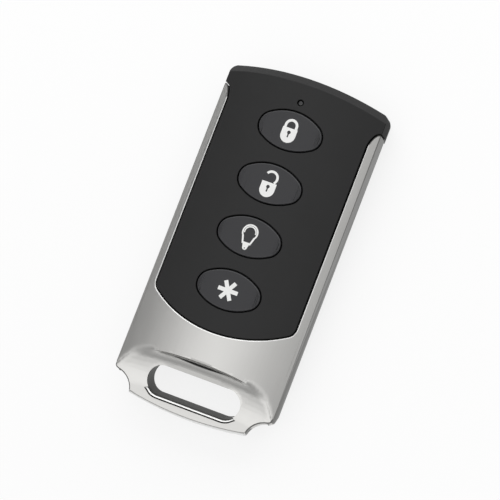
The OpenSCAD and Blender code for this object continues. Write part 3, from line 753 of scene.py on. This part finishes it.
# %% Back shell
BACK_HIGH, BACK_TILT = 3, 0.4
BACK_EDGE = 0.2 * MM
back = copy_of("rear_cover", "back_shell", cover_black)


def on_back(middle, normals):
    """The rear cover's outer edges: round the floor and the screw wells."""
    return min(normal.z for normal in normals) < -BACK_TILT and middle.z < BACK_HIGH


count = bevel_where(back, on_back, BACK_EDGE)
smooth(back)
dress(back, "case", ["rear_cover"])
print("edges bevelled:", count)

# %% [markdown]
# ## Keys
#
# Each key is an oval cap, a shade lighter than the cover, with a narrow rim that fingers have
# rubbed smoother. The rim is a bevel with a finish of its own.

# %% Keys
KEYS = ["lock", "unlock", "light", "star"]
KEY_LOW, KEY_TILT = 9.5, 0.7
KEY_EDGE = 0.22 * MM


def on_key(middle, normals):
    """A key's upper edge."""
    return middle.z > KEY_LOW and max(normal.z for normal in normals) > KEY_TILT


for key in KEYS:
    cap = copy_of(key + "_button", key + "_cap", key_black, key_rim)
    bevel_where(cap, on_key, KEY_EDGE, finish=1)
    smooth(cap, CROWN_R + KEY_PROUD)
    dress(cap, key + "_key", [key + "_button"])

# %% [markdown]
# ## The lamp's window
#
# The light pipe ends in a small round window under the keys' crown. Its edge is rounded and
# painted near black, as painted shade for the narrow gap round it, while the flat middle is
# smoked grey.

# %% Lamp window
pipe_grey = moulded("pipe_grey", (0.026, 0.026, 0.028), (0.034, 0.034, 0.036), 0.3, 0.001 * MM)
# The window's rounded edge is painted near black: painted shade for the gap round it.
pipe_edge_painted_shade = moulded("pipe_edge_painted_shade", (0.002, 0.002, 0.002), (0.004, 0.004, 0.004), 0.4, 0.001 * MM,
                    Specular_IOR_Level=0.1)
WINDOW_EDGE = 0.2 * MM
WINDOW_NEAR = 0.1
window = copy_of("light_pipe", "lamp_window", pipe_grey, pipe_edge_painted_shade)
window_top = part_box("light_pipe")[1].z / MM


def on_window(middle, normals):
    """The window's upper edge."""
    return middle.z > window_top - WINDOW_NEAR


# The bevel takes the near black painted shade.
count = bevel_where(window, on_window, WINDOW_EDGE, finish=1)
smooth(window)
dress(window, "case", ["light_pipe"])
print("window edges:", count)

# %% [markdown]
# ## The signs
#
# The signs are printed on the keys in white ink. Ink has hardly any height, so each sign could
# be a mask in the key's material, but its edge would then be as coarse as a baked picture. Here
# a sign is a film a few hundredths of a millimetre thick. First its outline is made as an
# upright block, from discs, bars and spun sections. Then a thin face is spun about the crown's
# axis into a curved film, and only the part of the film that lies inside the block is kept.

# %% Helpers: blocks in the shape of a sign
BLOCK = 1.2 * MM
DISC_SIDES = 48
RING_STEPS = 40


def settle(piece):
    """Puts an object's place, turn and scale into its mesh, and points its faces outwards."""
    bpy.ops.object.select_all(action="DESELECT")
    piece.select_set(True)
    bpy.context.view_layer.objects.active = piece
    bpy.ops.object.transform_apply(location=True, rotation=True, scale=True)
    bpy.ops.object.mode_set(mode="EDIT")
    bpy.ops.mesh.select_all(action="SELECT")
    bpy.ops.mesh.remove_doubles(threshold=TIGHT)
    bpy.ops.mesh.normals_make_consistent(inside=False)
    bpy.ops.object.mode_set(mode="OBJECT")
    return piece


def bar(x, y, width, length, turn=0.0):
    """An upright bar with its middle at x and y, in millimetres, turned by degrees."""
    bpy.ops.object.select_all(action="DESELECT")
    bpy.ops.mesh.primitive_cube_add(size=1, location=(x * MM, y * MM, 0))
    piece = bpy.context.object
    piece.rotation_euler.z = math.radians(turn)
    piece.scale = (width * MM, length * MM, BLOCK)
    return settle(piece)


def disc(x, y, radius):
    """An upright round block."""
    bpy.ops.object.select_all(action="DESELECT")
    bpy.ops.mesh.primitive_cylinder_add(vertices=DISC_SIDES, radius=radius * MM, depth=BLOCK,
                                        location=(x * MM, y * MM, 0))
    return settle(bpy.context.object)


def ring(x, y, radius, line, start, sweep):
    """A section as wide as a line, spun from a start angle through a sweep, in degrees."""
    bpy.ops.object.select_all(action="DESELECT")
    bpy.ops.mesh.primitive_plane_add(size=1, location=(radius * MM, 0, 0),
                                     rotation=(math.pi / 2, 0, 0))
    piece = bpy.context.object
    piece.scale = (line * MM, BLOCK, 1)
    bpy.ops.object.transform_apply(location=True, rotation=True, scale=True)
    bpy.ops.object.mode_set(mode="EDIT")
    bpy.ops.mesh.select_all(action="SELECT")
    bpy.ops.mesh.spin(steps=RING_STEPS, angle=-math.radians(sweep), center=(0, 0, 0),
                      axis=(0, 0, 1))
    bpy.ops.object.mode_set(mode="OBJECT")
    piece.rotation_euler.z = math.radians(start)
    piece.location = (x * MM, y * MM, 0)
    return settle(piece)


def rounded_foot(top, radius, height, spread):
    """A half disc whose flat side is pulled up to a top, and spread there."""
    foot_y = top - height + radius
    piece = disc(0, foot_y, radius)
    bpy.ops.object.mode_set(mode="EDIT")
    bpy.ops.mesh.select_all(action="SELECT")
    bpy.ops.mesh.bisect(plane_co=(0, foot_y * MM, 0), plane_no=(0, 1, 0), use_fill=True,
                        clear_outer=True, threshold=TIGHT)
    bpy.ops.mesh.extrude_region_move(TRANSFORM_OT_translate={"value": (0, (top - foot_y) * MM, 0)})
    bpy.ops.transform.resize(value=(spread, 1, 1), center_override=(0, top * MM, 0))
    bpy.ops.object.mode_set(mode="OBJECT")
    return settle(piece)


def combine(piece, others, operation):
    """Adds, cuts or intersects blocks, with a Boolean that is applied."""
    for other in others:
        change = piece.modifiers.new("combine", "BOOLEAN")
        change.operation = operation
        change.solver = "EXACT"
        change.object = other
        bpy.ops.object.select_all(action="DESELECT")
        piece.select_set(True)
        bpy.context.view_layer.objects.active = piece
        bpy.ops.object.modifier_apply(modifier=change.name)
        bpy.data.objects.remove(other)
    return piece


print("blocks are this high, in mm:", round(BLOCK / MM, 2))

# %% The two padlocks
SHACKLE_R, SHACKLE_LINE = 1.11, 0.52


def padlock(top):
    """A padlock's body with its keyhole."""
    body = rounded_foot(top, radius=1.52, height=3.0, spread=1)
    keyhole = [disc(0, top - 0.9, radius=0.36), bar(0, top - 1.41, width=0.28, length=1.02)]
    return combine(body, keyhole, "DIFFERENCE")


def lock_block():
    """A closed padlock: its shackle is an arch on two legs."""
    body = padlock(top=0.51)
    legs = [bar(side * SHACKLE_R, 0.7, SHACKLE_LINE, length=0.6) for side in (-1, 1)]
    arch = ring(0, 0.99, SHACKLE_R, SHACKLE_LINE, start=0, sweep=180)
    return combine(body, [arch, *legs], "UNION")


def unlock_block():
    """An open padlock: its shackle is a ring that stops short on one side."""
    shackle = ring(0, 1.19, radius=1.23, line=0.47, start=-46, sweep=194)
    return combine(padlock(top=0.25), [shackle], "UNION")


print("padlock shackle in mm:", SHACKLE_R, "line:", SHACKLE_LINE)

# %% The bulb and the star
GLOBE_Y = 0.86
STAR_Y, STAR_SPAN, STAR_LINE = -0.1, 4.1, 0.8


def light_block():
    """A bulb: two lines for the globe, two for the neck, a collar and a cap."""
    globe = ring(0, GLOBE_Y, radius=1.485, line=0.31, start=-33, sweep=246)
    shine = ring(0, GLOBE_Y, radius=1.14, line=0.25, start=-5, sweep=200)
    necks = [bar(side * 1.015, -0.57, width=0.35, length=1.34, turn=side * -17) for side in (-1, 1)]
    collar = bar(0, -1.35, width=1.88, length=0.37)
    foot = rounded_foot(-1.44, radius=0.5, height=1.26, spread=1.4)
    cap = combine(foot, [disc(0, -2.35, radius=0.12)], "DIFFERENCE")
    return combine(globe, [shine, *necks, collar, cap], "UNION")


def star_block():
    """A star of three crossed bars."""
    first, *others = [bar(0, STAR_Y, STAR_SPAN, STAR_LINE, turn) for turn in (0, 60, 120)]
    return combine(first, others, "UNION")


SIGN_BLOCKS = {"lock": lock_block, "unlock": unlock_block, "light": light_block, "star": star_block}
print("signs to print:", list(SIGN_BLOCKS))

# %% Print on the keys
PRINT_UNDER = 0.03 * MM
PRINT_OVER = 0.015 * MM
FILM_HALF = math.radians(4)
FILM_STEPS = 24
FILM_LENGTH = 6 * MM


def film_over(y):
    """A film of print over the key at y: a thin upright face, spun about the crown's axis."""
    inner = CROWN_R + KEY_PROUD - PRINT_UNDER
    outer = CROWN_R + KEY_PROUD + PRINT_OVER
    bpy.ops.object.select_all(action="DESELECT")
    bpy.ops.mesh.primitive_plane_add(size=1, location=(0, 0, (inner + outer) / 2),
                                     rotation=(0, math.pi / 2, 0))
    film = bpy.context.object
    film.scale = (outer - inner, FILM_LENGTH, 1)
    bpy.ops.object.transform_apply(location=True, rotation=True, scale=True)
    bpy.ops.object.mode_set(mode="EDIT")
    bpy.ops.mesh.select_all(action="SELECT")
    bpy.ops.mesh.spin(steps=FILM_STEPS, angle=-2 * FILM_HALF, center=(0, 0, 0), axis=(0, 1, 0))
    bpy.ops.object.mode_set(mode="OBJECT")
    film.rotation_euler.y = -FILM_HALF
    film.location = (0, y, crown_z)
    return settle(film)


white_ink = moulded("white_ink", (0.80, 0.80, 0.79), (0.88, 0.88, 0.87), 0.5, 0.001 * MM)
for key in KEYS:
    low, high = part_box(key + "_button")
    block = SIGN_BLOCKS[key]()
    block.location = (0, (low.y + high.y) / 2, key_top)
    sign = combine(film_over(block.location.y), [settle(block)], "INTERSECT")
    sign.name = sign.data.name = key + "_sign"
    sign.data.materials.append(white_ink)
    dress(sign, key + "_key")

# %% [markdown]
# ## Parts inside
#
# The board, the switches, the cell and the screws keep the shapes of their solids. They show
# only when the case is open, but they are what they are: tin and steel with the marks of the
# rolling mill, dark moulding resin, a green board over a weave of glass, gilded copper.

# %% Finishes of the parts inside
WEAVE_SCALE = 320


def laminate(name):
    """Green lacquer over a weave of glass cloth: two sets of threads that cross."""
    board = Finish(name, Specular_IOR_Level=0.5)
    threads = [board.add("ShaderNodeTexWave", {"bands_direction": axis},
                         {"Vector": board.place, "Scale": WEAVE_SCALE, "Distortion": 0.6})
               for axis in "XY"]
    weave = 0.5 * threads[0] + 0.5 * threads[1]
    cloud = board.noise(4 * MM)
    lacquer = board.between((0.008, 0.075, 0.025), (0.016, 0.13, 0.045), 0.6 * weave + 0.4 * cloud)
    return board.wear(
        Base_Color=lacquer,
        Roughness=0.28 + 0.12 * cloud,
        Normal=board.bump(weave, 0.01 * MM, 0.3))


def resin(name, pale, deep, roughness, **constants):
    """A cast resin: clear or tinted, with faint clouds."""
    cast = Finish(name, **constants)
    cloud = cast.noise(0.5 * MM)
    return cast.wear(Base_Color=cast.between(pale, deep, cloud), Roughness=roughness + 0.1 * cloud)


tin = nickel("tin_plate", (0.58, 0.58, 0.57), (0.68, 0.68, 0.67), 0.24, 0.14)
spring = nickel("spring_strip", (0.46, 0.44, 0.38), (0.56, 0.54, 0.47), 0.26, 0.16)
cell_plate = nickel("cell_plate", (0.54, 0.54, 0.53), (0.64, 0.64, 0.63), 0.22, 0.12)
screw_black = nickel("screw_black", (0.10, 0.10, 0.10), (0.16, 0.16, 0.16), 0.3, 0.16)
gilt = nickel("gilt_copper", (0.60, 0.36, 0.14), (0.72, 0.47, 0.22), 0.25, 0.15)
switch_black = moulded("switch_black", (0.028, 0.028, 0.028), (0.04, 0.04, 0.04), 0.5, 0.003 * MM)
chip_black = moulded("chip_black", (0.016, 0.016, 0.017), (0.026, 0.026, 0.027), 0.55, 0.004 * MM)
ceramic = moulded("ceramic", (0.24, 0.17, 0.10), (0.36, 0.27, 0.17), 0.5, 0.002 * MM)
gasket_grey = moulded("gasket_grey", (0.48, 0.48, 0.45), (0.56, 0.56, 0.53), 0.5, 0.002 * MM)
lamp_resin = resin("lamp_resin", (0.75, 0.68, 0.52), (0.82, 0.76, 0.62), 0.2)
green_board = laminate("green_board")
print("inner finishes made")

# %% Parts inside
INSIDE = {
    green_board: ["circuit_board"],
    tin: ["switch_covers", "switch_terminals", "chip_leads", "saw_resonator"],
    spring: ["battery_clip", "negative_contact"],
    cell_plate: ["cell_can", "cell_cap"],
    screw_black: ["case_screws"],
    gilt: ["antenna_track"],
    switch_black: ["switch_bases"] + [key + "_plunger" for key in KEYS],
    chip_black: ["encoder_chip", "rf_transistor"],
    ceramic: ["chip_passives"],
    gasket_grey: ["cell_gasket"],
    lamp_resin: ["status_led"],
}
for finish, names in INSIDE.items():
    for name in names:
        for material_slot in frame["nodes"][name].material_slots:
            material_slot.material = finish
print("solids dressed:", sum(len(names) for names in INSIDE.values()))

# %% [markdown]
# ## Snap domes
#
# Under each plunger a thin steel dome gives way when the key goes down and throws it back up.
# The solid cannot bend; here each dome is a smoothed copy with a mesh of its own.

# %% Snap domes
for key in KEYS:
    dome = copy_of(key + "_snap_dome", key + "_dome", spring)
    smooth(dome)
    dress(dome, "case", [key + "_snap_dome"])
    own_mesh(dome)

# %% [markdown]
# ## Sizes
#
# Edges and finishes must not make the fob larger than its solids. So its size before and after is
# written down, and only the print on the keys may stand over the solids, by its own thin layer.

# %% Sizes
dressed_low, dressed_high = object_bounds()
grown = [*(solid_low - dressed_low), *(dressed_high - solid_high)]
print("grown by, in mm:", [round(side / MM, 3) for side in grown])
